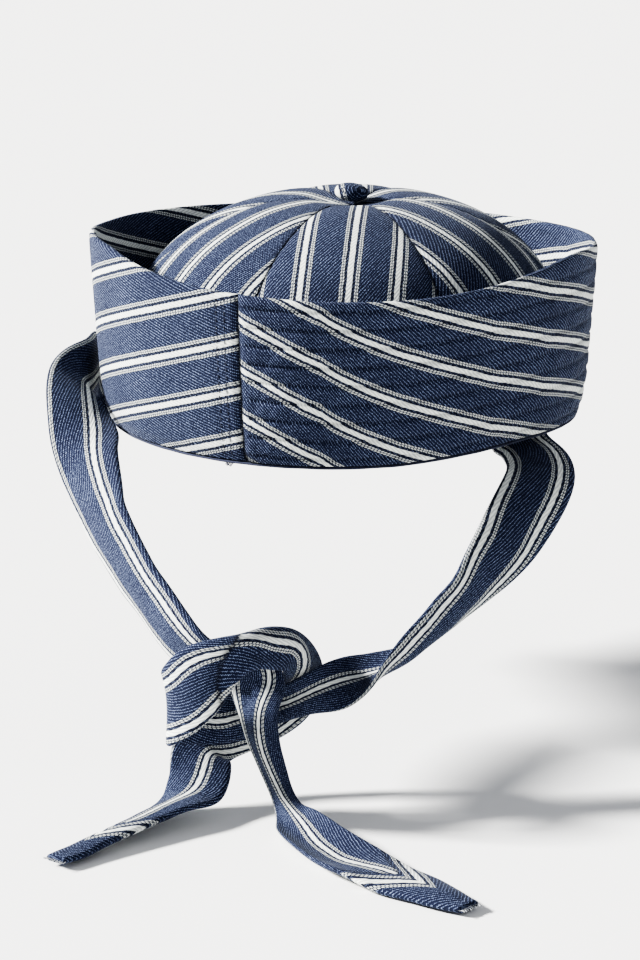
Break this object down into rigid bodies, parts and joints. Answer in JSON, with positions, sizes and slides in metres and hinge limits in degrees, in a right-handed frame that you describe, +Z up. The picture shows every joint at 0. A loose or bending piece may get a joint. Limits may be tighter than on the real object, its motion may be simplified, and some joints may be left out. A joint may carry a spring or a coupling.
{
  "type": "sailor cap",
  "caption": "Striped cloth sailor cap: domed gored crown with a covered button, tall turned-up quilted brim and cloth ties knotted below the front.",
  "frame": {"origin": "middle of the head opening, level with the brim's lower edge, where the cap sits on a head", "axes": "+Z up through the crown; -Y towards the side on which the ties are knotted; +X to the right when seen from that side"},
  "size_m": [0.2297, 0.3708, 0.2175],
  "materials": {
    "brim_plain": "striped woven twill",
    "brim_quilted": "striped woven twill, quilted in rows",
    "crown": "striped woven twill",
    "button": "striped woven twill over a button",
    "binding": "dark woven tape",
    "ties": "striped woven twill, doubled"
  },
  "bodies": {
    "root": {"brim_plain_panel": "brim_plain", "brim_quilted_panel": "brim_quilted", "bottom_binding": "binding", "crown_gore_1": "crown", "crown_gore_2": "crown", "crown_gore_3": "crown", "crown_gore_4": "crown", "crown_gore_5": "crown", "crown_gore_6": "crown", "crown_button": "button", "tie_left": "ties", "tie_right": "ties"}
  },
  "joints": []
}
